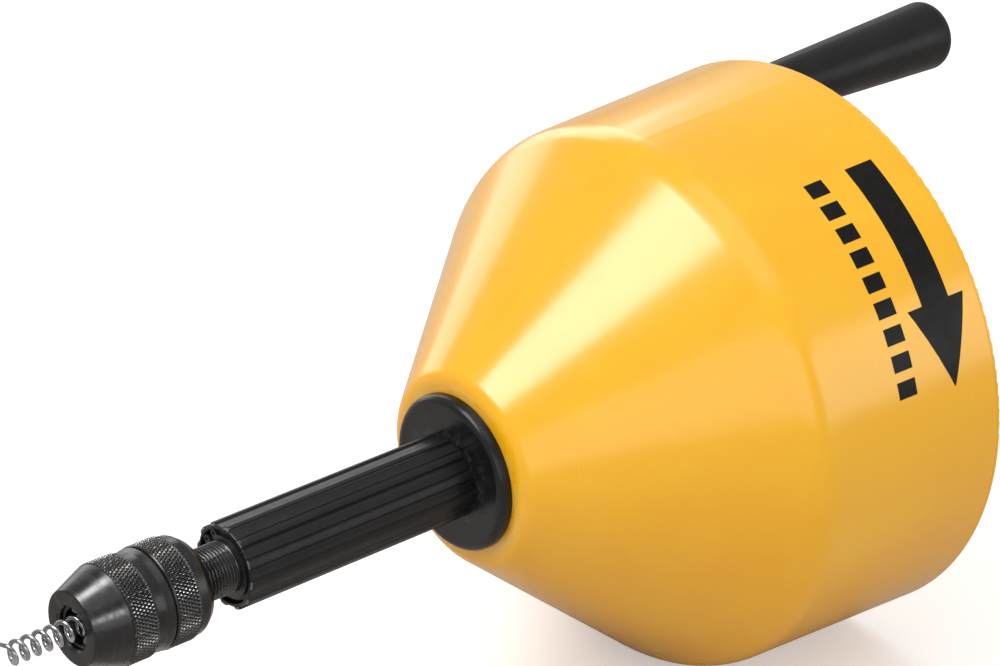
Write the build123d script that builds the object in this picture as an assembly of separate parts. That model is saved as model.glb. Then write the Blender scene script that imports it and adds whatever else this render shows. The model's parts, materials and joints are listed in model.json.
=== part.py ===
from build123d import *
import math
import os

# Hand-cranked drain snake machine.
# The tool axis is X: the chuck and the spiral's tip point to -X, the drum and
# the crank handle to +X, and Z is up.  The origin is the middle of the hand
# grip, on the tool axis.  Millimetres.

# ---------------------------------------------------------------- dimensions
# spiral (the snake)
SPIRAL_R = 4.0            # outer radius of the 8 mm spiral
WIRE_R = 0.72             # spring wire radius
TIP_PITCH = 4.2           # open pitch at the stretched tip
TIP_TURNS = 7.6
TIP_PHASE = 79.0          # where the open end of the wire lies, degrees from +Y
TAIL = 4.5                # straight end of the wire
TIP_X = -127.73           # where the coils of the tip begin
RUN_BORE_R = 3.0          # inside radius of the close wound spiral
COIL_PITCH = 8.6
COIL_LAYERS = [(66.4, 102.0, 6), (75.2, 112.0, 5), (84.0, 128.0, 5)]

# chuck
CHUCK_X = -104.0          # front face
MOUTH_R = 7.0
FACE_R = 12.3
CHUCK_R = 17.1            # over the knurled bands
BAND_1 = (-92.2, -82.9)   # front knurled band
FRONT_END = -76.3         # rear edge of the front sleeve
REAR_START = -76.0
BAND_2 = (-76.0, -66.7)   # rear knurled band
CHUCK_END = -60.4
JAW_TILT = 12.0           # degrees between a jaw's axis and the tool axis
JAW_R = 2.8
JAW_TIP_X = -101.5
JAW_TIP_RHO = 5.0         # jaw axis to tool axis at the jaw's tip
JAW_TAIL_X = -80.0
JAW_FACE_R = 4.08         # gripping faces when closed on the spiral
JAW_TRAVEL = 6.5
BODY_R = 10.0
SHOULDER_R = 14.2

# spindle tube
SPINDLE_R = 8.7
SPINDLE_BORE_R = 5.6
SPINDLE_X = (-70.5, 66.0)
THREAD_PITCH = 1.25
THREAD_DEPTH = 0.62

# hand grip
GRIP_X = (-45.7, 44.8)
RIB_R = 14.5
RIB_ROOT_R = 13.95
RIBS = 12
RIB_PHASE = 5.5           # degrees from +Y
GRIP_BORE_R = 10.5
RECESS_R = 12.4
FRONT_SEAT, REAR_SEAT = -41.7, 42.3   # where the bush flanges bear
RING_ANGLE = 45.0         # where the retaining ring's gap points, degrees from +Y

# drum
FLANGE_X = 45.0
FLANGE_R = 26.6
NOSE_X = 49.6
NOSE_R = 32.25
SHOULDER_X = 123.0
DRUM_SHOULDER_R = 94.1
COVER_X = 198.3           # joint between shell and cover
RIM_X = 199.75
RIM_R = 97.0
WALL = 3.0
HUB_R = 14.0
SCREW_CIRCLE_R = 20.0
COVER_SCREW_R = 89.5
COVER_SCREW_PHASE = 31.0

# crank
CRANK_OFFSET = 80.7
CRANK_ANGLE = 60.8        # degrees from +Y towards +Z
HANDLE_X = (204.5, 303.0)
HANDLE_R = (8.4, 12.5)
AXLE_R = 5.0
AXLE_THREAD_R = 4.0


# ------------------------------------------------------------------- helpers
def profile(points):
    """A closed face in the XZ plane from (x, r, fillet) corners."""
    pts = [Vector(p[0], 0, p[1]) for p in points]
    rad = [p[2] if len(p) > 2 else 0 for p in points]
    n = len(pts)
    a, m, b = [], [], []
    for i in range(n):
        p = pts[i]
        if not rad[i]:
            a.append(p), m.append(None), b.append(p)
            continue
        u = (pts[i - 1] - p).normalized()
        v = (pts[(i + 1) % n] - p).normalized()
        half = math.acos(max(-1, min(1, u.dot(v)))) / 2
        d = rad[i] / math.tan(half)
        w = (u + v).normalized()
        a.append(p + u * d)
        b.append(p + v * d)
        m.append(p + w * (rad[i] / math.sin(half) - rad[i]))
    edges = []
    for i in range(n):
        if m[i] is not None:
            edges.append(ThreePointArc(a[i], m[i], b[i]))
        j = (i + 1) % n
        if (a[j] - b[i]).length > 1e-6:
            edges.append(Line(b[i], a[j]))
    return make_face(edges)


def turned(points):
    return revolve(profile(points), Axis.X)


def rod(x0, x1, r, y=0.0, z=0.0):
    lo, hi = min(x0, x1), max(x0, x1)
    return Pos(lo, y, z) * extrude(Plane.YZ * Circle(r), hi - lo)


def ring(x0, x1, r0, r1, y=0.0, z=0.0):
    return rod(x0, x1, r1, y, z) - rod(x0 - 1, x1 + 1, r0, y, z)


def polar(r, deg):
    return r * math.cos(math.radians(deg)), r * math.sin(math.radians(deg))


def keep(name, shape):
    solids = shape.solids()
    out = solids[0] if len(solids) == 1 else Compound(children=list(solids))
    export_step(out, f"parts/{name}.step")


os.makedirs("parts", exist_ok=True)

# ----------------------------------------------------------------- hand grip
section = []
for i in range(RIBS):
    base = RIB_PHASE + i * 360 / RIBS
    for d, r in ((-5.6, RIB_ROOT_R), (-3.6, RIB_R), (3.6, RIB_R), (5.6, RIB_ROOT_R)):
        section.append(polar(r, base + d))
grip = Pos(GRIP_X[0], 0, 0) * extrude(
    Plane.YZ * make_face(Polyline(*section, close=True)), GRIP_X[1] - GRIP_X[0])
grip &= turned([(GRIP_X[0], 0), (GRIP_X[0], 13.9), (GRIP_X[0] + 0.8, 14.7),
                (GRIP_X[1] - 0.8, 14.7), (GRIP_X[1], 13.9), (GRIP_X[1], 0)])
grip -= rod(GRIP_X[0] - 1, GRIP_X[1] + 1, GRIP_BORE_R)
grip -= rod(GRIP_X[0] - 1, FRONT_SEAT, RECESS_R)
grip -= rod(REAR_SEAT, GRIP_X[1] + 1, RECESS_R)
keep("grip_sleeve", grip)

BUSH_BORE = SPINDLE_R + 0.05
f = FRONT_SEAT
keep("front_bush", turned([(f - 1.5, BUSH_BORE), (f - 1.5, 12.0, 0.3), (f, 12.0),
                           (f, GRIP_BORE_R), (-22.0, GRIP_BORE_R), (-22.0, BUSH_BORE)]))
f = REAR_SEAT
keep("rear_bush", turned([(22.0, BUSH_BORE), (22.0, GRIP_BORE_R), (f, GRIP_BORE_R),
                          (f, 12.0), (f + 1.5, 12.0, 0.3), (f + 1.5, BUSH_BORE)]))

# ------------------------------------------------------------- spindle tube
pts = [(SPINDLE_X[0], SPINDLE_BORE_R), (SPINDLE_X[0], SPINDLE_R - 0.6),
       (SPINDLE_X[0] + 0.6, SPINDLE_R)]
x = -60.0
while x + THREAD_PITCH < -46.3:
    pts += [(x, SPINDLE_R), (x + 0.08 * THREAD_PITCH, SPINDLE_R),
            (x + 0.5 * THREAD_PITCH, SPINDLE_R - THREAD_DEPTH),
            (x + 0.92 * THREAD_PITCH, SPINDLE_R)]
    x += THREAD_PITCH
pts += [(-45.35, SPINDLE_R), (-45.35, 8.2), (-44.25, 8.2), (-44.25, SPINDLE_R),
        (SPINDLE_X[1] - 0.6, SPINDLE_R), (SPINDLE_X[1], SPINDLE_R - 0.6),
        (SPINDLE_X[1], SPINDLE_BORE_R)]
keep("spindle_tube", turned(pts))

keep("front_thrust_washer", ring(-44.2, -43.3, SPINDLE_R + 0.05, 11.6))
keep("rear_thrust_washer", ring(43.9, FLANGE_X, SPINDLE_R + 0.05, 12.0))

# retaining ring: eccentric open ring with two eared ends
gap = Rot(0, 0, RING_ANGLE)
shape = (Pos(-0.35, 0) * Circle(10.4)) - Circle(8.22)
shape -= Pos(8, 0) * Rectangle(16, 2.6)
for s in (-1, 1):
    ear = Pos(10.0, s * 2.55) * RectangleRounded(3.9, 2.5, 1.0)
    shape += ear
for s in (-1, 1):
    shape -= Pos(10.6, s * 2.55) * Circle(0.72)
shape -= Circle(8.22)
shape -= Pos(8, 0) * Rectangle(16, 2.6)
keep("retaining_ring", Pos(-45.3, 0, 0) * extrude(Plane.YZ * (gap * shape), 1.0))

# --------------------------------------------------------- drum nose fixing
flange = turned([(FLANGE_X, SPINDLE_R), (FLANGE_X, FLANGE_R, 2.8), (NOSE_X, FLANGE_R, 0.4),
                 (NOSE_X, HUB_R), (57.5, HUB_R), (57.5, SPINDLE_R)])
screws = []
for i in range(3):
    y, z = polar(SCREW_CIRCLE_R, 90 + 120 * i)
    flange -= rod(46.6, NOSE_X + 1, 2.5, y, z)
    screw = rod(46.9, 56.5, 2.5, y, z) + rod(56.5, 61.5, 4.25, y, z)
    socket = Pos(59.0, y, z) * extrude(Plane.YZ * RegularPolygon(2.3, 6), 5)
    screws.append(screw - socket)
keep("drum_flange", flange)
export_step(Compound(children=[s.solids()[0] for s in screws]), "parts/flange_screws.step")

backing = ring(NOSE_X + 3.5, 56.5, HUB_R + 0.1, 25.4)
for i in range(3):
    y, z = polar(SCREW_CIRCLE_R, 90 + 120 * i)
    backing -= rod(50, 60, 2.75, y, z)
keep("backing_ring", backing)

nut = turned([(57.5, SPINDLE_R), (57.5, 13.6, 0.5), (63.5, 13.6, 0.5), (63.5, SPINDLE_R)])
for i in range(4):
    nut -= Rot(90 * i, 0, 0) * (Pos(60.5, 0, 13.6) * Box(8, 4.0, 3.6))
keep("spindle_nut", nut)

# ---------------------------------------------------------------- drum shell
slope_out = (RIM_R - DRUM_SHOULDER_R) / (RIM_X - SHOULDER_X)
r_at_joint = DRUM_SHOULDER_R + slope_out * (COVER_X - SHOULDER_X)
cone = math.atan2(DRUM_SHOULDER_R - NOSE_R, SHOULDER_X - NOSE_X)
# inner corners of a wall of constant thickness
nx, nr = math.sin(cone), -math.cos(cone)
k1 = (DRUM_SHOULDER_R - NOSE_R) / (SHOULDER_X - NOSE_X)
inner_nose_x = NOSE_X + 3.5
inner_nose_r = NOSE_R + nr * WALL + k1 * (inner_nose_x - (NOSE_X + nx * WALL))
# cone wall line: r = NOSE_R + nr*WALL + k1*(x - NOSE_X - nx*WALL)
# cylinder wall line: r = DRUM_SHOULDER_R - WALL + slope_out*(x - SHOULDER_X)
c0 = NOSE_R + nr * WALL - k1 * (NOSE_X + nx * WALL)
c1 = DRUM_SHOULDER_R - WALL - slope_out * SHOULDER_X
ix = (c1 - c0) / (k1 - slope_out)
ir = c0 + k1 * ix
SHELL_END = COVER_X - 0.02
outer = [(NOSE_X, HUB_R + 0.1), (NOSE_X, NOSE_R, 6.6), (SHOULDER_X, DRUM_SHOULDER_R, 16.5),
         (SHELL_END, DRUM_SHOULDER_R + slope_out * (SHELL_END - SHOULDER_X), 0.25),
         (SHELL_END, c1 + slope_out * SHELL_END),
         (ix, ir, 13.5), (inner_nose_x, inner_nose_r, 3.6), (inner_nose_x, HUB_R + 0.1)]
shell = turned(outer)
for i in range(6):
    y, z = polar(COVER_SCREW_R, COVER_SCREW_PHASE + 60 * i)
    boss = rod(176.0, SHELL_END, 4.6, y, z)
    fin = Pos((176 + SHELL_END) / 2, 0, 0) * Rot(COVER_SCREW_PHASE + 60 * i, 0, 0) * (
        Pos(0, 92.0, 0) * Box(SHELL_END - 176, 5.0, 3.0))
    shell += boss + fin
    shell -= rod(182.0, SHELL_END + 1, 2.0, y, z)
for i in range(3):
    y, z = polar(SCREW_CIRCLE_R, 90 + 120 * i)
    shell -= rod(NOSE_X - 1, inner_nose_x + 1, 2.75, y, z)
keep("drum_shell", shell)

# ---------------------------------------------------------------- rear cover
cy, cz = polar(CRANK_OFFSET, CRANK_ANGLE)
cover = turned([(RIM_X, 0), (RIM_X - 0.0, 21.0, 1.5), (194.5, 24.0, 1.5), (194.5, 77.0, 2.0),
                (RIM_X, 82.5, 1.5), (RIM_X, RIM_R, 0.8), (COVER_X, RIM_R - 0.06, 0.25),
                (COVER_X, 84.6, 0.5), (191.5, 79.0, 1.5), (191.5, 0)])
# stiffening ribs on the recessed face
for i in range(12):
    a = 15 + 30 * i
    if abs((a - CRANK_ANGLE + 180) % 360 - 180) < 20:
        continue
    cover += Rot(a, 0, 0) * (Pos(195.6, 51.0, 0) * Box(3.2, 56.0, 2.4))
cover += rod(190.0, 203.3, 12.5, cy, cz)
cover -= rod(180, 210, AXLE_THREAD_R, cy, cz)
cover_screws = []
for i in range(6):
    y, z = polar(COVER_SCREW_R, COVER_SCREW_PHASE + 60 * i)
    cover -= rod(COVER_X - 3, RIM_X + 3, 2.2, y, z)
    head = Pos(RIM_X, y, z) * turned([(0, 0), (0, 3.9), (1.6, 3.9, 1.2), (2.3, 2.2, 0.6), (2.3, 0)])
    body = rod(184.0, RIM_X, 2.0, y, z) + head
    body -= Pos(RIM_X + 1.0, y, z) * extrude(Plane.YZ * (Rectangle(3.4, 0.8) + Rectangle(0.8, 3.4)), 3)
    cover_screws.append(body)
keep("rear_cover", cover)
export_step(Compound(children=[s.solids()[0] for s in cover_screws]), "parts/cover_screws.step")

# --------------------------------------------------------------------- crank
bolt = turned([(180.6, 0), (180.6, AXLE_THREAD_R - 0.6), (181.2, AXLE_THREAD_R),
               (204.3, AXLE_THREAD_R), (204.3, AXLE_R), (288.0, AXLE_R), (288.0, 6.5),
               (296.0, 6.5, 0.8), (296.0, 0)])
bolt -= Pos(291.5, 0, 0) * extrude(Plane.YZ * RegularPolygon(3.46, 6), 6)
keep("crank_axle", Pos(0, cy, cz) * bolt)
keep("crank_washer", ring(203.3, 204.3, AXLE_THREAD_R + 0.05, 8.0, cy, cz))
keep("crank_nut_washer", ring(188.4, 190.0, AXLE_THREAD_R + 0.1, 8.0, cy, cz))
hexnut = Pos(181.9, 0, 0) * extrude(Plane.YZ * RegularPolygon(7.5, 6), 6.5)
hexnut &= turned([(181.9, 0), (181.9, 6.6), (182.6, 7.6), (188.4, 7.6), (188.4, 0)])
hexnut -= rod(170, 200, AXLE_THREAD_R)
keep("crank_nut", Pos(0, cy, cz) * hexnut)

hx0, hx1 = HANDLE_X
keep("crank_handle", Pos(0, cy, cz) * turned([
    (hx0, AXLE_R + 0.06), (hx0, HANDLE_R[0], 0.8), (hx1, HANDLE_R[1], 5.7),
    (hx1, 7.3, 0.6), (287.8, 7.3), (287.8, AXLE_R + 0.06)]))

# --------------------------------------------------------------------- chuck
t = math.tan(math.radians(JAW_TILT))


def jaw_rho(x):
    return JAW_TIP_RHO + t * (x - JAW_TIP_X)


def jaw_rod(x0, x1, r):
    """A rod on the inclined jaw axis in the XZ plane, with square ends."""
    p0 = Vector(x0, 0, jaw_rho(x0))
    p1 = Vector(x1, 0, jaw_rho(x1))
    d = p1 - p0
    return extrude(Plane(origin=p0, z_dir=d) * Circle(r), d.length)


body = turned([(-102.4, 5.8, 0.4), (-102.4, BODY_R, 0.6), (-83.9, BODY_R), (-83.9, SHOULDER_R, 0.3),
               (-70.0, SHOULDER_R, 0.4), (-70.0, 12.0), (CHUCK_END, 12.0, 0.4),
               (CHUCK_END, SPINDLE_R), (-71.5, SPINDLE_R), (-71.5, 5.8)])
jaws = []
for i in range(3):
    a = 90 + 120 * i - 90
    body -= Rot(a, 0, 0) * jaw_rod(-112.0, JAW_TAIL_X + JAW_TRAVEL + 0.5, JAW_R + 0.1)
    jaw = jaw_rod(-112.0, JAW_TAIL_X, JAW_R)
    jaw &= Pos(-60 + JAW_TIP_X + 100, 0, 20) * Box(80, 40, 40 * 2)
    jaw -= Pos(-90, 0, JAW_FACE_R - 10) * Box(60, 20, 20)
    for n in range(7):
        xt = -93.4 + 1.8 * n
        notch = Plane(origin=(xt, 0, jaw_rho(xt) + JAW_R / math.cos(math.radians(JAW_TILT))),
                      z_dir=(0, 1, 0)) * make_face(Polyline((-0.55, 0.4), (0, -0.55), (0.55, 0.4), close=True))
        jaw -= extrude(notch, 3, both=True)
    jaws.append(Rot(a, 0, 0) * jaw)
keep("chuck_body", body)
for i, jaw in enumerate(jaws):
    keep(f"chuck_jaw_{i + 1}", jaw)

tip_out = JAW_R / math.cos(math.radians(JAW_TILT))
NUT_X = (-90.1, -84.0)
keep("chuck_jaw_nut", turned([
    (NUT_X[0], jaw_rho(NUT_X[0]) + tip_out + 0.16), (NUT_X[0], 14.28), (NUT_X[1], 14.28),
    (NUT_X[1], jaw_rho(NUT_X[1]) + tip_out + 0.16)]))

keep("chuck_front_sleeve", turned([
    (CHUCK_X, MOUTH_R + 0.6), (CHUCK_X, FACE_R, 0.7), (BAND_1[0] - 0.25, 16.75, 0.2),
    (BAND_1[0], 16.55), (BAND_1[0] + 0.5, CHUCK_R), (BAND_1[1] - 0.4, CHUCK_R),
    (BAND_1[1], 16.6), (-79.3, 16.55), (-76.9, 16.85), (FRONT_END, 16.6, 0.2),
    (FRONT_END, 14.28), (NUT_X[0], 14.28), (-102.6, 10.9), (-102.6, MOUTH_R), (CHUCK_X + 0.6, MOUTH_R)]))

keep("chuck_rear_sleeve", turned([
    (REAR_START, SHOULDER_R), (REAR_START, 16.6), (REAR_START + 0.5, CHUCK_R),
    (BAND_2[1] - 0.4, CHUCK_R), (BAND_2[1], 16.55), (-63.4, 16.4, 2.6),
    (CHUCK_END + 0.1, 14.2, 1.4), (CHUCK_END + 0.1, 12.0),
    (-70.0, 12.0), (-70.0, SHOULDER_R)]))

# -------------------------------------------------------------------- spiral
mean_r = SPIRAL_R - WIRE_R
tip_len = TIP_TURNS * TIP_PITCH
path = Helix(pitch=TIP_PITCH, height=tip_len, radius=mean_r,
             center=(TIP_X, 0, 0), direction=(1, 0, 0))
start = path @ 0
wire = sweep(Plane(origin=start, z_dir=path % 0) * Circle(WIRE_R), path=path, is_frenet=True)
wire += extrude(Plane(origin=start, z_dir=-(path % 0)) * Circle(WIRE_R), TAIL)
turn = TIP_PHASE - math.degrees(math.atan2(start.Z, start.Y))
keep("spiral_tip", Rot(turn, 0, 0) * wire)

RUN_X = (TIP_X + tip_len + 1.2, 71.7)
LEAD_X = 72.0
tube_face = Circle(SPIRAL_R) - Circle(RUN_BORE_R)
keep("spiral_run", ring(RUN_X[0], RUN_X[1], RUN_BORE_R, SPIRAL_R - 0.02))

# wound stock: a lead from the spindle to the drum wall, then three layers
R0, X0, N0 = COIL_LAYERS[0]
rho = X0 - LEAD_X
lead = revolve(Plane.YZ.offset(LEAD_X) * tube_face,
               Axis((LEAD_X, 0, rho), (0, -1, 0)), 90)
a_r = (R0 ** 2 - rho ** 2) / (2 * R0)
turn = 180 - math.degrees(math.atan2(rho, a_r))
bend = revolve(Plane.XY.offset(rho) * (Pos(X0, 0) * tube_face),
               Axis((X0, a_r, rho), (-1, 0, 0)), turn)
pieces = [lead, bend]
print("lead arcs", round(rho, 1), round(a_r, 1), "turn", round(turn, 1))
length = (RUN_X[1] - TIP_X) + rho * math.pi / 2 + a_r * math.radians(turn)
end_a = math.degrees(math.atan2(rho, a_r))
for k, (r, xs, n) in enumerate(COIL_LAYERS):
    h = Helix(pitch=COIL_PITCH, height=COIL_PITCH * n, radius=r,
              center=(0, 0, 0), direction=(0, 0, 1), lefthand=True)
    tube = sweep(Plane(origin=h @ 0, z_dir=h % 0) * tube_face, path=h, is_frenet=True)
    # helix axis Z -> X, its start turned to the end of the bend
    tube = Plane(origin=(xs, 0, 0), x_dir=(0, 1, 0), z_dir=(1, 0, 0)).location * tube
    pieces.append(Rot(end_a + 25 * k, 0, 0) * tube)
    length += math.hypot(2 * math.pi * r, COIL_PITCH) * n
print("spiral length along its axis, m:", round(length / 1000, 2))
export_step(Compound(children=[s for p in pieces for s in p.solids()]), "parts/spiral_coil.step")
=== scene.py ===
import json
import math

import bmesh
import bpy
import numpy as np
from mathutils import Matrix, Vector


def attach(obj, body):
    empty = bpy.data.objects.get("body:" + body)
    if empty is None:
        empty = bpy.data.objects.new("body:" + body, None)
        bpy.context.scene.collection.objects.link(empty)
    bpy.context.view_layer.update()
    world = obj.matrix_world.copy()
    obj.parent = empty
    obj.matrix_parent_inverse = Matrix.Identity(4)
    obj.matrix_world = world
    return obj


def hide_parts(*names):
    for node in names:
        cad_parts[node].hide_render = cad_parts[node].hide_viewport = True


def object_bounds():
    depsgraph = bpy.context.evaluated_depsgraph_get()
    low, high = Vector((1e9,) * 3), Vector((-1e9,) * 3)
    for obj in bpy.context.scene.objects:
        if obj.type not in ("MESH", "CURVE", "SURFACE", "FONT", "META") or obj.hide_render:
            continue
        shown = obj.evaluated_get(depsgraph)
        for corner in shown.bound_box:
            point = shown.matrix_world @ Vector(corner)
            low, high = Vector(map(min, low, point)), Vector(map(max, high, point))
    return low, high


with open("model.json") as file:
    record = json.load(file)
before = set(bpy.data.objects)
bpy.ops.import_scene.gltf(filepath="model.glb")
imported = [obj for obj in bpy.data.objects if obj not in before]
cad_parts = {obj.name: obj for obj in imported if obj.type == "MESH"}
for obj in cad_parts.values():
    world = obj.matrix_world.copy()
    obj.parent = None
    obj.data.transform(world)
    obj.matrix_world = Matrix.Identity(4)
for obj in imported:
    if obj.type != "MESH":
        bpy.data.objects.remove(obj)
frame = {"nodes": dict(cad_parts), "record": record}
cad_lo, cad_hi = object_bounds()
MM = 0.001

# ------------------------------------------------------------ camera
CAM_POS = (-0.768359, -0.974176, 0.696150)
CAM_RIGHT = Vector((0.7590944, -0.6509806, 0.0))
CAM_UP = Vector((0.2949148, 0.3438937, 0.8914945))
cam = bpy.data.cameras.new("camera")
cam.sensor_width = 36.0
cam.lens = 161.674
cam.clip_start, cam.clip_end = 0.05, 60.0
cam_o = bpy.data.objects.new("camera", cam)
bpy.context.collection.objects.link(cam_o)
rot = Matrix((CAM_RIGHT, CAM_UP, CAM_RIGHT.cross(CAM_UP))).transposed()
cam_o.matrix_world = Matrix.Translation(CAM_POS) @ rot.to_4x4()
bpy.context.scene.camera = cam_o


class Nodes:
    """A short way to write a material's nodes."""

    def __init__(self, name):
        self.m = bpy.data.materials.new(name)
        self.m.use_nodes = True
        self.t = self.m.node_tree
        self.bsdf = self.t.nodes["Principled BSDF"]
        self.out = self.t.nodes["Material Output"]

    def new(self, kind, **props):
        n = self.t.nodes.new(kind)
        for k, v in props.items():
            setattr(n, k, v)
        return n

    def put(self, socket, value):
        if isinstance(value, bpy.types.NodeSocket):
            self.t.links.new(value, socket)
        else:
            socket.default_value = value

    def coords(self):
        return self.new("ShaderNodeTexCoord").outputs["Object"]

    def xyz(self, v):
        n = self.new("ShaderNodeSeparateXYZ")
        self.put(n.inputs[0], v)
        return n.outputs

    def combine(self, x, y, z):
        n = self.new("ShaderNodeCombineXYZ")
        for i, v in enumerate((x, y, z)):
            self.put(n.inputs[i], v)
        return n.outputs[0]

    def math(self, op, a, b=0.0, c=0.0, clamp=False):
        n = self.new("ShaderNodeMath", operation=op, use_clamp=clamp)
        self.put(n.inputs[0], a)
        self.put(n.inputs[1], b)
        if len(n.inputs) > 2:
            self.put(n.inputs[2], c)
        return n.outputs[0]

    def scale(self, v, s):
        n = self.new("ShaderNodeVectorMath", operation="MULTIPLY")
        self.put(n.inputs[0], v)
        n.inputs[1].default_value = s
        return n.outputs[0]

    def noise(self, v, scale, detail=3.0, rough=0.55, distortion=0.0):
        n = self.new("ShaderNodeTexNoise")
        self.put(n.inputs["Vector"], v)
        n.inputs["Scale"].default_value = scale
        n.inputs["Detail"].default_value = detail
        n.inputs["Roughness"].default_value = rough
        n.inputs["Distortion"].default_value = distortion
        return n.outputs["Fac"]

    def ramp(self, f, lo, hi, a=0.0, b=1.0):
        n = self.new("ShaderNodeMapRange", interpolation_type="SMOOTHSTEP", clamp=True)
        self.put(n.inputs["Value"], f)
        for k, v in (("From Min", lo), ("From Max", hi), ("To Min", a), ("To Max", b)):
            self.put(n.inputs[k], v)
        return n.outputs["Result"]

    def mix(self, f, a, b):
        n = self.new("ShaderNodeMix", data_type="RGBA")
        self.put(n.inputs["Factor"], f)
        self.put(n.inputs["A"] if False else n.inputs[6], a)
        self.put(n.inputs[7], b)
        return n.outputs[2]

    def bump(self, height, strength, distance, normal=None):
        n = self.new("ShaderNodeBump")
        n.inputs["Strength"].default_value = strength
        n.inputs["Distance"].default_value = distance
        self.put(n.inputs["Height"], height)
        if normal is not None:
            self.put(n.inputs["Normal"], normal)
        return n.outputs[0]

    def edge(self, lo=0.52, hi=0.62):
        g = self.new("ShaderNodeNewGeometry")
        return self.ramp(g.outputs["Pointiness"], lo, hi)

    def set(self, **kw):
        names = {"color": "Base Color", "rough": "Roughness", "metal": "Metallic",
                 "normal": "Normal", "coat": "Coat Weight", "coat_rough": "Coat Roughness",
                 "aniso": "Anisotropic", "spec": "Specular IOR Level", "ior": "IOR",
                 "sss": "Subsurface Weight", "sheen": "Sheen Weight", "tangent": "Tangent"}
        for k, v in kw.items():
            self.put(self.bsdf.inputs[names[k]], v)
        return self.m


def rgb(r, g, b):
    return (r, g, b, 1.0)


# ------------------------------------------------------------------- materials
def moulded_yellow(name):
    """Glossy pigmented plastic: soft flow streaks, handling scuffs in the gloss, pale rubbed edges."""
    n = Nodes(name)
    v = n.coords()
    broad = n.noise(v, 9.0, 3.0, 0.5)
    flow = n.noise(n.scale(v, (16.0, 60.0, 60.0)), 1.0, 4.0, 0.6)
    fine = n.noise(v, 900.0, 2.0, 0.5)
    base = n.mix(n.ramp(broad, 0.35, 0.65), rgb(0.955, 0.448, 0.0040), rgb(0.980, 0.490, 0.0060))
    base = n.mix(n.ramp(flow, 0.42, 0.72, 0.0, 0.22), base, rgb(0.975, 0.585, 0.016))
    scuff = n.ramp(n.noise(n.scale(v, (420.0, 30.0, 30.0)), 1.0, 5.0, 0.65), 0.60, 0.78)
    worn = n.math("MULTIPLY", n.edge(0.515, 0.56), n.ramp(n.noise(v, 120.0, 3.0), 0.42, 0.62))
    base = n.mix(n.math("MULTIPLY", worn, 0.35), base, rgb(0.99, 0.66, 0.12))
    rough = n.ramp(n.noise(v, 28.0, 4.0, 0.6), 0.3, 0.7, 0.205, 0.265)
    rough = n.math("ADD", rough, n.math("MULTIPLY", scuff, 0.06))
    rough = n.math("ADD", rough, n.math("MULTIPLY", worn, 0.10), clamp=True)
    peel = n.noise(v, 210.0, 2.0, 0.5)
    normal = n.bump(peel, 0.05, 0.0006)
    normal = n.bump(fine, 0.05, 0.0001, normal)
    n.bsdf.inputs["Subsurface Radius"].default_value = (0.004, 0.0018, 0.0004)
    n.bsdf.inputs["Subsurface Scale"].default_value = 0.6
    return n.set(color=base, rough=rough, normal=normal, coat=0.60, coat_rough=0.16, spec=0.5, sss=0.05)


def black_moulded(name, lo=0.30, hi=0.42, level=0.021, grain=1400.0, grain_bump=0.10, spec=0.36, edge_rub_and_highlight=0.085):
    """Satin black plastic: fine moulded grain, faint grey rub on the edges; on the grip rubber this edge grey is
    raised into a painted highlight as well as rub.
    """
    n = Nodes(name)
    v = n.coords()
    cloud = n.noise(v, 55.0, 4.0, 0.6)
    worn = n.math("MULTIPLY", n.edge(0.53, 0.62), n.ramp(n.noise(v, 260.0, 3.0), 0.40, 0.62))
    base = n.mix(n.ramp(cloud, 0.35, 0.68), rgb(level, level, level * 1.05), rgb(level * 1.35, level * 1.35, level * 1.4))
    base = n.mix(n.math("MULTIPLY", worn, 0.5), base, rgb(edge_rub_and_highlight, edge_rub_and_highlight, edge_rub_and_highlight * 1.03))
    rough = n.ramp(n.noise(v, 90.0, 4.0, 0.6), 0.3, 0.7, lo, hi)
    rough = n.math("SUBTRACT", rough, n.math("MULTIPLY", worn, 0.07), clamp=True)
    normal = n.bump(n.noise(v, grain, 3.0, 0.6), grain_bump, 0.00012)
    normal = n.bump(n.noise(v, 160.0, 2.0, 0.5), 0.025, 0.0005, normal)
    return n.set(color=base, rough=rough, normal=normal, spec=spec)


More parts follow.
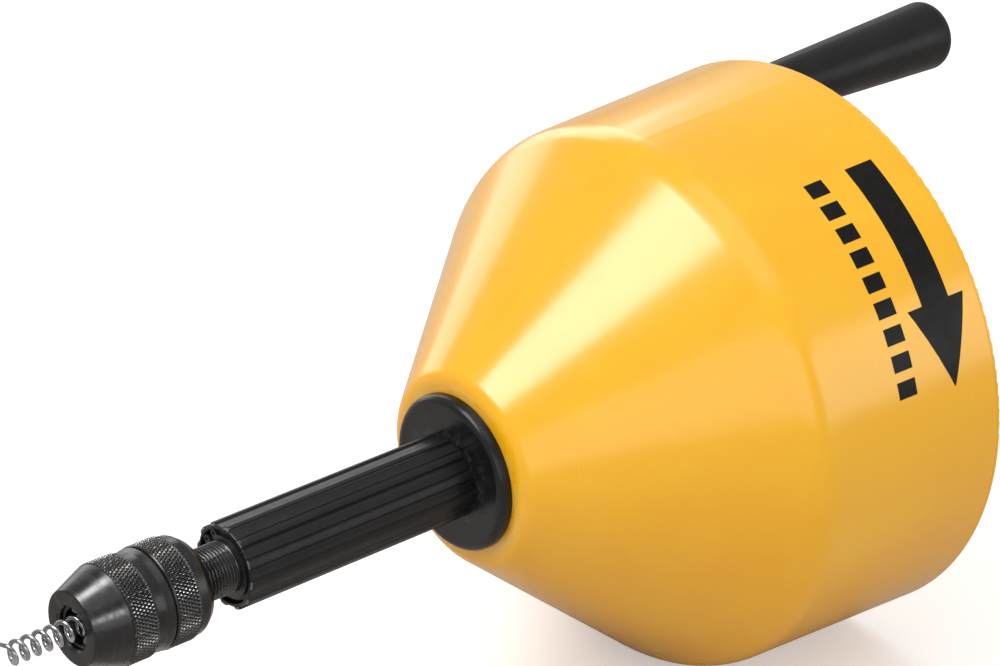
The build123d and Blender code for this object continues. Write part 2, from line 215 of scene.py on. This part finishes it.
def turned_steel(name, level=0.050, lo=0.22, hi=0.30, lines=5200.0, line_bump=0.12, metal=0.9, wear=0.5,
                 edge_wear_and_glint_colour=(0.24, 0.24, 0.245), aniso=0.35):
    """Lathe-turned steel: rings a fraction of a millimetre apart round the tool axis, smoke-like oxide, bright worn
    edges; on the knurl the bright tips are painted glints as well as wear.
    """
    n = Nodes(name)
    v = n.coords()
    x, y, z = n.xyz(v)
    ring = n.noise(n.combine(n.math("MULTIPLY", x, lines), n.math("MULTIPLY", y, 14.0), n.math("MULTIPLY", z, 14.0)),
                   1.0, 3.0, 0.7)
    band = n.noise(n.combine(n.math("MULTIPLY", x, lines * 0.13), n.math("MULTIPLY", y, 25.0),
                             n.math("MULTIPLY", z, 25.0)), 1.0, 3.0, 0.6)
    oxide = n.noise(v, 130.0, 5.0, 0.62, 0.4)
    worn = n.math("MULTIPLY", n.edge(0.53, 0.60), n.ramp(n.noise(v, 420.0, 3.0), 0.36, 0.60))
    a, b = rgb(level * 0.9, level * 0.9, level * 0.92), rgb(level * 1.18, level * 1.17, level * 1.16)
    base = n.mix(n.ramp(oxide, 0.32, 0.68), a, b)
    base = n.mix(n.ramp(ring, 0.5, 0.72, 0.0, 0.25), base, rgb(level * 1.7, level * 1.7, level * 1.72))
    # worn edges and tips turn bright grey; on the knurl this paints glints on the diamond tops as well as wear
    base = n.mix(n.math("MULTIPLY", worn, wear), base, rgb(*edge_wear_and_glint_colour))
    rough = n.ramp(band, 0.3, 0.7, lo, hi)
    rough = n.math("ADD", rough, n.ramp(oxide, 0.4, 0.7, -0.01, 0.02), clamp=True)
    normal = n.bump(ring, line_bump, 0.00006)
    tan = n.new("ShaderNodeTangent", direction_type="RADIAL", axis="X")
    n.bsdf.inputs["Anisotropic Rotation"].default_value = 0.25
    return n.set(color=base, rough=rough, metal=metal, normal=normal, aniso=aniso, tangent=tan.outputs[0])


def plain_metal(name, a, b, lo, hi, metal=1.0, scale=240.0, wear=0.4):
    n = Nodes(name)
    v = n.coords()
    cloud = n.noise(v, scale, 5.0, 0.6, 0.3)
    fine = n.noise(n.scale(v, (1.0, 3.0, 3.0)), 2600.0, 2.0, 0.6)
    worn = n.math("MULTIPLY", n.edge(0.53, 0.62), n.ramp(fine, 0.35, 0.65))
    base = n.mix(n.ramp(cloud, 0.34, 0.68), rgb(*a), rgb(*b))
    base = n.mix(n.math("MULTIPLY", worn, wear), base, rgb(*(min(1.0, c * 1.5 + 0.05) for c in b)))
    rough = n.ramp(cloud, 0.3, 0.7, lo, hi)
    return n.set(color=base, rough=rough, metal=metal, normal=n.bump(fine, 0.08, 0.00004))


def printed_black(name):
    n = Nodes(name)
    v = n.coords()
    cloud = n.noise(v, 300.0, 4.0, 0.6)
    base = n.mix(n.ramp(cloud, 0.35, 0.7), rgb(0.0050, 0.0044, 0.0040), rgb(0.0085, 0.0078, 0.0070))
    rough = n.ramp(n.noise(v, 70.0, 3.0), 0.3, 0.7, 0.30, 0.40)
    return n.set(color=base, rough=rough, normal=n.bump(n.noise(v, 1500.0, 2.0), 0.05, 0.00005), spec=0.18)


MAT = {
    "drum_yellow": moulded_yellow("drum_yellow_plastic"),
    "black_flange": black_moulded("flange_black_plastic", 0.20, 0.28, 0.0065, 1100.0, 0.04, 0.36, 0.10),
    "black_plastic": black_moulded("handle_black_plastic", 0.33, 0.43, 0.0080, 1500.0, 0.07, 0.27),
    # grip rubber: its edge grey of 0.30 is a painted highlight along the edges, together with rubbed wear
    "grip_rubber": black_moulded("grip_black_rubber", 0.31, 0.40, 0.0070, 1800.0, 0.05, 0.30, 0.30),
    "blackened_steel": turned_steel("blackened_turned_steel", level=0.042, lo=0.22, hi=0.31),
    # knurl: full edge wear to a pale grey paints glints on the diamond tips, together with real wear on them
    "knurled_steel": turned_steel("blackened_knurled_steel", level=0.060, lo=0.14, hi=0.21, wear=1.0, edge_wear_and_glint_colour=(0.50, 0.50, 0.51), lines=1500.0,
                                  line_bump=0.03, aniso=0.0),
    "thread_steel": turned_steel("blackened_thread_steel", 0.060, 0.22, 0.32, 1500.0, 0.03, wear=0.6, aniso=0.0),
    "spring_steel": plain_metal("phosphated_spring_steel", (0.040, 0.040, 0.042), (0.070, 0.070, 0.073), 0.34, 0.5, 0.85),
    "hardened_steel": plain_metal("ground_hardened_steel", (0.10, 0.10, 0.104), (0.16, 0.16, 0.165), 0.28, 0.42),
    "plain_steel": plain_metal("zinc_plated_steel", (0.42, 0.42, 0.43), (0.58, 0.58, 0.57), 0.30, 0.44),
    "bronze": plain_metal("bearing_bronze", (0.46, 0.27, 0.11), (0.60, 0.38, 0.17), 0.30, 0.45),
    "bright_wire": plain_metal("drawn_spring_wire", (0.26, 0.26, 0.27), (0.42, 0.42, 0.43), 0.12, 0.22, 1.0, 380.0, 0.3),
    # pale grey for the grip's end chamfers: a painted highlight along the end edges, together with rubbed wear
    "grip_end_wear_and_highlight": black_moulded("grip_end_wear_and_painted_highlight", 0.36, 0.48, 0.110, 1800.0, 0.12, 0.4, 0.45),
    "print": printed_black("printed_black_ink"),
}
MAT["cover_yellow"] = MAT["drum_yellow"]

slots = {s["node"]: s["material_slot"] for s in frame["record"]["subparts"]}
for name, o in frame["nodes"].items():
    m = MAT[slots[name]]
    if not o.material_slots:
        o.data.materials.append(m)
    for s in o.material_slots:
        s.material = m


# ----------------------------------------------------------------- mesh helpers
def corners(points, arc=0.35):
    """A list of (x, r) along a closed profile, with (x, r, fillet) corners rounded."""
    n, out = len(points), []
    P = [np.array(p[:2], float) for p in points]
    R = [p[2] if len(p) > 2 else 0.0 for p in points]
    for i in range(n):
        p, r = P[i], R[i]
        if not r:
            out.append(p)
            continue
        u = P[i - 1] - p
        v = P[(i + 1) % n] - p
        u, v = u / np.linalg.norm(u), v / np.linalg.norm(v)
        half = math.acos(max(-1.0, min(1.0, float(u @ v)))) / 2
        d = r / math.tan(half)
        c = p + (u + v) / np.linalg.norm(u + v) * (r / math.sin(half))
        a0 = p + u * d - c
        a1 = p + v * d - c
        total = math.pi - 2 * half
        steps = max(3, int(math.ceil(total * r / arc)), int(math.ceil(total / 0.22)))
        s0 = math.atan2(a0[1], a0[0])
        s1 = math.atan2(a1[1], a1[0])
        turn = (s1 - s0 + math.pi) % (2 * math.pi) - math.pi
        for k in range(steps + 1):
            a = s0 + turn * k / steps
            out.append(c + r * np.array([math.cos(a), math.sin(a)]))
    return out


def lathe(name, profile, segs=192, centre=(0.0, 0.0), shift=None, material=None, sharp=32.0, longest=None):
    """A closed ring-shaped solid turned about an axis along X. shift(x, r, angle) gives the radius there."""
    pts = [np.array(p, float) for p in profile]
    if longest:
        more = []
        for i, p in enumerate(pts):
            q = pts[(i + 1) % len(pts)]
            lim = longest(p, q)
            k = max(1, int(math.ceil(np.linalg.norm(q - p) / lim))) if lim else 1
            more += [p + (q - p) * j / k for j in range(k)]
        pts = more
    P = np.array(pts)
    n = len(P)
    ang = np.arange(segs) * 2 * math.pi / segs
    X = np.repeat(P[:, 0:1], segs, 1)
    R = np.repeat(P[:, 1:2], segs, 1)
    A = np.repeat(ang[None, :], n, 0)
    if shift is not None:
        R = shift(X, R, A)
    V = np.stack([X, centre[0] + R * np.cos(A), centre[1] + R * np.sin(A)], -1).reshape(-1, 3) * MM
    idx = np.arange(n * segs).reshape(n, segs)
    nxt, rgt = np.roll(idx, -1, 0), np.roll(idx, -1, 1)
    both = np.roll(nxt, -1, 1)
    F = np.stack([idx, rgt, both, nxt], -1).reshape(-1, 4)
    return solid(name, V, F, material, sharp)


def solid(name, V, F, material, sharp=32.0, smooth=True):
    me = bpy.data.meshes.new(name)
    me.from_pydata([tuple(map(float, v)) for v in V], [], [tuple(map(int, f)) for f in F])
    bm = bmesh.new()
    bm.from_mesh(me)
    bmesh.ops.remove_doubles(bm, verts=bm.verts, dist=1e-7)
    bmesh.ops.recalc_face_normals(bm, faces=bm.faces)
    if bm.calc_volume(signed=True) < 0:
        bmesh.ops.reverse_faces(bm, faces=bm.faces)
    bm.to_mesh(me)
    bm.free()
    if smooth:
        me.shade_smooth()
        me.set_sharp_from_angle(angle=math.radians(sharp))
    o = bpy.data.objects.new(name, me)
    bpy.context.collection.objects.link(o)
    if material:
        me.materials.append(material)
    return o


def stand_in(o, node, body):
    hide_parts(node)
    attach(o, body)
    return o


# ------------------------------------------------------------------ chuck sleeves
KNURLS = 82
KNURL_PITCH = 2.30   # along the axis
KNURL_DEPTH = 0.50


def knurl(bands, depth=KNURL_DEPTH):
    def shift(X, R, A):
        out = R.copy()
        for x0, x1, rmin in bands:
            on = (X > x0 + 0.02) & (X < x1 - 0.02) & (R > rmin)
            u = A * KNURLS / (2 * math.pi)
            v = (X - x0) / KNURL_PITCH
            a = np.abs(((u + v) % 1.0) - 0.5) * 2
            b = np.abs(((u - v) % 1.0) - 0.5) * 2
            cut = np.maximum(a, b)
            cut = np.clip((cut - 0.22) / 0.72, 0, 1)
            edge = np.clip(np.minimum(X - x0, x1 - X) / 0.45, 0, 1)
            out = np.where(on, R - depth * cut * (0.25 + 0.75 * edge), out)
        return out
    return shift


def fine_in(bands, step, other=None):
    def lim(p, q):
        xm, rm = (p[0] + q[0]) / 2, (p[1] + q[1]) / 2
        for x0, x1, rmin in bands:
            if x0 <= xm <= x1 and rm > rmin:
                return step
        return other
    return lim


BAND_1, BAND_2 = (-92.2, -82.9), (-76.0, -66.7)
b1 = [(BAND_1[0] + 0.35, BAND_1[1] - 0.3, 16.9)]
b2 = [(BAND_2[0] + 0.5, BAND_2[1] - 0.3, 16.9)]
front_profile = corners([
    (-104.0, 7.75, 0.12), (-104.0, 12.3, 0.75), (-92.55, 16.72, 0.25), (-92.2, 16.52, 0.08),
    (-91.75, 17.1, 0.12), (-83.2, 17.1, 0.12), (-82.9, 16.62, 0.08), (-79.4, 16.5, 0.3),
    (-77.0, 16.86, 0.25), (-76.3, 16.6, 0.15), (-76.3, 14.28), (-90.1, 14.28), (-102.6, 10.9),
    (-102.6, 7.0, 0.1), (-103.2, 7.0, 0.25)], 0.12)
o = lathe("front_sleeve_knurled", front_profile, 1200, shift=knurl(b1), material=MAT["blackened_steel"],
          longest=fine_in(b1, 0.13, 4.0), sharp=40)
stand_in(o, "chuck_front_sleeve", "chuck_sleeve")

rear_profile = corners([
    (-76.0, 14.2), (-76.0, 16.75, 0.18), (-75.5, 17.1, 0.1), (-67.0, 17.1, 0.12), (-66.7, 16.55, 0.08),
    (-63.4, 16.4, 2.6), (-60.3, 14.2, 1.4), (-60.3, 12.0),
    (-70.0, 12.0), (-70.0, 14.2)], 0.12)
o = lathe("rear_sleeve_knurled", rear_profile, 1200, shift=knurl(b2), material=MAT["blackened_steel"],
          longest=fine_in(b2, 0.13, 4.0), sharp=40)
stand_in(o, "chuck_rear_sleeve", "drum")


def paint(o, material, test):
    """Gives the faces whose middle passes the test a material of their own."""
    o.data.materials.append(material)
    k = len(o.data.materials) - 1
    for p in o.data.polygons:
        c = p.center
        if test(c.x / MM, math.hypot(c.y, c.z) / MM):
            p.material_index = k


paint(bpy.data.objects["front_sleeve_knurled"], MAT["knurled_steel"],
      lambda x, r: BAND_1[0] + 0.3 < x < BAND_1[1] - 0.25 and r > 16.65)
paint(bpy.data.objects["rear_sleeve_knurled"], MAT["knurled_steel"],
      lambda x, r: BAND_2[0] + 0.45 < x < BAND_2[1] - 0.25 and r > 16.65)

# ------------------------------------------------------------------ spindle tube
PITCH, DEPTH = 1.25, 0.66


def thread(X, R, A):
    on = (X > -69.0) & (X < -46.3) & (R > 8.2)
    f = ((X / PITCH - A / (2 * math.pi)) % 1.0)
    tri = 1 - np.abs(f - 0.5) * 2
    cut = np.clip((tri - 0.12) / 0.76, 0, 1)
    fade = np.clip((-46.3 - X) / 0.9, 0, 1)
    return np.where(on, R - DEPTH * cut * fade, R)


spindle_profile = corners([
    (-70.5, 5.6), (-70.5, 8.1, 0.1), (-69.9, 8.7, 0.1), (-45.35, 8.7, 0.06), (-45.35, 8.2), (-44.25, 8.2),
    (-44.25, 8.7, 0.06), (65.4, 8.7, 0.1), (66.0, 8.1, 0.1), (66.0, 5.6)], 0.1)
o = lathe("spindle_threaded", spindle_profile, 144, shift=thread, material=MAT["thread_steel"],
          longest=lambda p, q: 0.125 if (p[1] > 8.3 and q[1] > 8.3 and p[0] < -46.0 and q[0] < -42) else 8.0, sharp=50)
stand_in(o, "spindle_tube", "drum")

# --------------------------------------------------------------------- hand grip
RIBS, PHASE = 12, math.radians(5.5)


def grip_radius(A):
    """Flat panels between narrow rounded ribs."""
    step = 2 * math.pi / RIBS
    d = np.abs((A - PHASE + step / 2) % step - step / 2)      # angle from the nearest rib
    panel = 14.02 * math.cos(step / 2) / np.cos(step / 2 - d)  # chord between ribs
    panel = panel - 0.10 * np.sin(np.clip((d - 0.105) / (step / 2 - 0.105), 0, 1) * math.pi / 2) ** 2
    t = np.clip((0.100 - d) / 0.022, 0, 1)
    rib = t * t * (3 - 2 * t)
    groove = np.exp(-((d - 0.122) / 0.015) ** 2) * 0.30
    return panel - groove + (14.5 - 14.02) * rib + (14.02 - panel) * rib * 0.6


def grip_shift(X, R, A):
    out = grip_radius(A)
    k = np.clip((R - 12.6) / (14.5 - 12.6), 0, 1)
    return np.where(R > 12.6, 12.6 + (out - 12.6) * k, R)


x0, x1 = -45.7, 44.8
grip_profile = [(x0, 12.4), (x0, 12.6), (x0, 13.4), (x0 + 0.05, 13.9), (x0 + 0.16, 14.15), (x0 + 0.35, 14.35),
                (x0 + 0.62, 14.46), (x0 + 0.95, 14.5)]
grip_profile += [(x, 14.5) for x in np.linspace(x0 + 3, x1 - 3, 30)]
grip_profile += [(x1 - 0.95, 14.5), (x1 - 0.62, 14.46), (x1 - 0.35, 14.35), (x1 - 0.16, 14.15),
                 (x1 - 0.05, 13.9), (x1, 13.4), (x1, 12.6), (x1, 12.4), (42.3, 12.4), (42.3, 10.5), (-41.7, 10.5),
                 (-41.7, 12.4)]
o = lathe("grip_ribbed", grip_profile, 960, shift=grip_shift, material=MAT["grip_rubber"], sharp=34)
stand_in(o, "grip_sleeve", "grip")
# painted highlight: the end chamfers of the grip take the pale grey rubber, standing in for the highlight along the
# end edges as well as rub
paint(o, MAT["grip_end_wear_and_highlight"], lambda x, r: (x > x1 - 0.30 or x < x0 + 0.22) and r > 13.45)

# ------------------------------------------------- printed turning mark on the drum
def drum_r(x):
    return 94.1 + (97.0 - 94.1) / (199.75 - 123.0) * (x - 123.0)


def ribbon(sections, V, F, low=-0.06, high=0.05):
    """Adds a thin closed band that follows the drum, from (angle, x0, x1) sections."""
    first = len(V)
    for a, xa, xb in sections:
        c, s_ = math.cos(math.radians(a)), math.sin(math.radians(a))
        for x, d in ((xa, low), (xb, low), (xb, high), (xa, high)):
            r = drum_r(x) + d
            V.append((x * MM, r * c * MM, r * s_ * MM))
    n = len(sections)
    for i in range(n - 1):
        for j in range(4):
            k = (j + 1) % 4
            F.append((first + 4 * i + j, first + 4 * i + k, first + 4 * i + 4 + k, first + 4 * i + 4 + j))
    F.append(tuple(first + j for j in range(4)))
    F.append(tuple(first + 4 * (n - 1) + j for j in range(4)))


V, F = [], []
arrow = [(a, 175.2, 186.8) for a in np.linspace(118.0, 149.0, 40)]
arrow += [(a, 181.0 - h, 181.0 + h) for a, h in ((149.02 + 17.0 * k / 24, 12.0 * (1 - k / 24) + 0.15) for k in range(25))]
ribbon(arrow, V, F)
for k in range(9):
    ribbon([(a, 157.0, 164.6) for a in np.linspace(118.0 + 5.4 * k, 121.4 + 5.4 * k, 6)], V, F)
o = solid("turning_mark", V, F, MAT["print"], 30.0, smooth=False)
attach(o, "drum")

# --------------------------------------------------------------- spiral's open tip
def tube(name, path, radius, sides, material, taper=None):
    """A closed tube along a polyline, its section carried along without twist."""
    P = np.array(path, float)
    T = np.gradient(P, axis=0)
    T /= np.linalg.norm(T, axis=1)[:, None]
    N = np.zeros_like(P)
    ref = np.cross(T[0], (0, 0, 1.0))
    N[0] = ref / np.linalg.norm(ref)
    for i in range(1, len(P)):
        v = N[i - 1] - T[i] * (N[i - 1] @ T[i])
        N[i] = v / np.linalg.norm(v)
    B = np.cross(T, N)
    a = np.arange(sides) * 2 * math.pi / sides
    r = np.full(len(P), radius) if taper is None else taper
    V = P[:, None, :] + r[:, None, None] * (np.cos(a)[None, :, None] * N[:, None, :] + np.sin(a)[None, :, None] * B[:, None, :])
    V = V.reshape(-1, 3)
    F = []
    for i in range(len(P) - 1):
        for j in range(sides):
            k = (j + 1) % sides
            F.append((i * sides + j, i * sides + k, (i + 1) * sides + k, (i + 1) * sides + j))
    F.append(tuple(range(sides)))
    F.append(tuple(len(V) - sides + j for j in range(sides)))
    return solid(name, V * MM, F, material, 50.0)


WIRE, MEAN, TIP, START = 0.80, 3.20, -127.73, math.radians(79.0)
TURNS = 7.6
t = np.linspace(0, TURNS * 2 * math.pi, int(TURNS * 60))
helix = np.stack([TIP + 4.2 * t / (2 * math.pi), MEAN * np.cos(t + START), MEAN * np.sin(t + START)], -1)
out = (helix[0] - helix[1]) / np.linalg.norm(helix[0] - helix[1])
tail = [helix[0] + out * d for d in (4.45, 4.3, 4.0, 3.0, 2.0, 1.0, 0.4)]
path = np.vstack([tail, helix])
thick = np.full(len(path), WIRE)
thick[0], thick[1] = WIRE * 0.72, WIRE * 0.93
o = tube("spiral_open_tip", path, WIRE, 20, MAT["bright_wire"], thick)
stand_in(o, "spiral_tip", "spiral")

RUN = (-94.61, 71.7)       # the close-wound part behind the open turns
RUN_TURNS = 115
RUN_PITCH = (RUN[1] - RUN[0]) / RUN_TURNS


def coil_shift(X, R, A):
    u = ((X - RUN[0]) / RUN_PITCH - A / (2 * math.pi)) % 1.0 * 2 - 1
    return np.where(R > 3.1, 3.24 + 0.73 * np.sqrt(1 - np.clip(u * u, 0, 0.93)), R)


rows = [(x, 3.9) for x in np.linspace(RUN[0], RUN[1], RUN_TURNS * 8 + 1)]
o = lathe("spiral_close_wound_run", rows + [(RUN[1], 3.02), (RUN[0], 3.02)], 40, shift=coil_shift,
          material=MAT["bright_wire"], sharp=60.0)
stand_in(o, "spiral_run", "spiral")

# --------------------------------------------------------------------- stage, light
bpy.ops.mesh.primitive_plane_add(size=14.0, location=(0.0, 0.0, cad_lo.z - 0.0004))
floor = bpy.context.object
floor.name = "floor"
nf = Nodes("pale_floor")
nf.set(color=rgb(0.90, 0.90, 0.90), rough=0.9, spec=0.05)
glow = nf.new("ShaderNodeEmission")
glow.inputs["Strength"].default_value = 0.34
lit = nf.new("ShaderNodeAddShader")
nf.put(lit.inputs[0], nf.bsdf.outputs[0])
nf.put(lit.inputs[1], glow.outputs[0])
dull = nf.new("ShaderNodeBsdfDiffuse")          # what the object sees of the floor
dull.inputs["Color"].default_value = rgb(0.52, 0.485, 0.465)
both = nf.new("ShaderNodeMixShader")
nf.put(both.inputs[0], nf.new("ShaderNodeLightPath").outputs["Is Camera Ray"])
nf.put(both.inputs[1], dull.outputs[0])
nf.put(both.inputs[2], lit.outputs[0])
nf.put(nf.out.inputs["Surface"], both.outputs[0])
floor.data.materials.append(nf.m)

world = bpy.data.worlds.new("studio")
bpy.context.scene.world = world
world.use_nodes = True
bg = world.node_tree.nodes["Background"]
bg.inputs["Color"].default_value = (1.0, 1.0, 1.0, 1.0)
bg.inputs["Strength"].default_value = 0.50
bpy.context.scene.view_settings.view_transform = "Standard"
bpy.context.scene.view_settings.look = "None"

CENTRE = Vector((0.085, 0.0, 0.0))
CHUCK = Vector((-0.088, 0.0, 0.0))


def softbox(name, direction, distance, size, power, colour=(1, 1, 1), size_y=None, centre=CENTRE, grid=180):
    light = bpy.data.lights.new(name, "AREA")
    light.shape = "RECTANGLE"
    light.size, light.size_y = size, size_y or size
    light.energy = power
    light.spread = math.radians(grid)
    light.color = colour
    o = bpy.data.objects.new(name, light)
    bpy.context.collection.objects.link(o)
    d = Vector(direction).normalized()
    o.location = centre + d * distance
    o.rotation_mode = "QUATERNION"
    o.rotation_quaternion = d.to_track_quat("Z", "Y")
    o.visible_camera = False
    return o


softbox("key", (-0.55, 0.13, 0.81), 1.7, 0.92, 14.0, size_y=0.68)
softbox("right_fill", (0.60, -0.78, 0.20), 2.2, 1.3, 6.3, size_y=1.0)
softbox("back", (0.35, 0.80, 0.45), 2.4, 1.3, 9.0, size_y=0.9)
softbox("left_back", (0.10, 1.0, 0.10), 2.4, 2.0, 9.0, size_y=1.0)
softbox("top", (0.0, -0.2, 1.0), 2.4, 2.2, 13.0)
softbox("front", (-0.45, -0.85, 0.30), 2.6, 2.4, 10.5, size_y=1.4)
softbox("chuck_top", (-0.104, 0.237, 0.966), 0.40, 0.16, 0.046, centre=CHUCK, grid=26)     # gridded, so that they
softbox("chuck_front", (-0.214, -0.857, 0.469), 0.40, 0.08, 0.0044, centre=CHUCK, grid=22)  # light the chuck alone
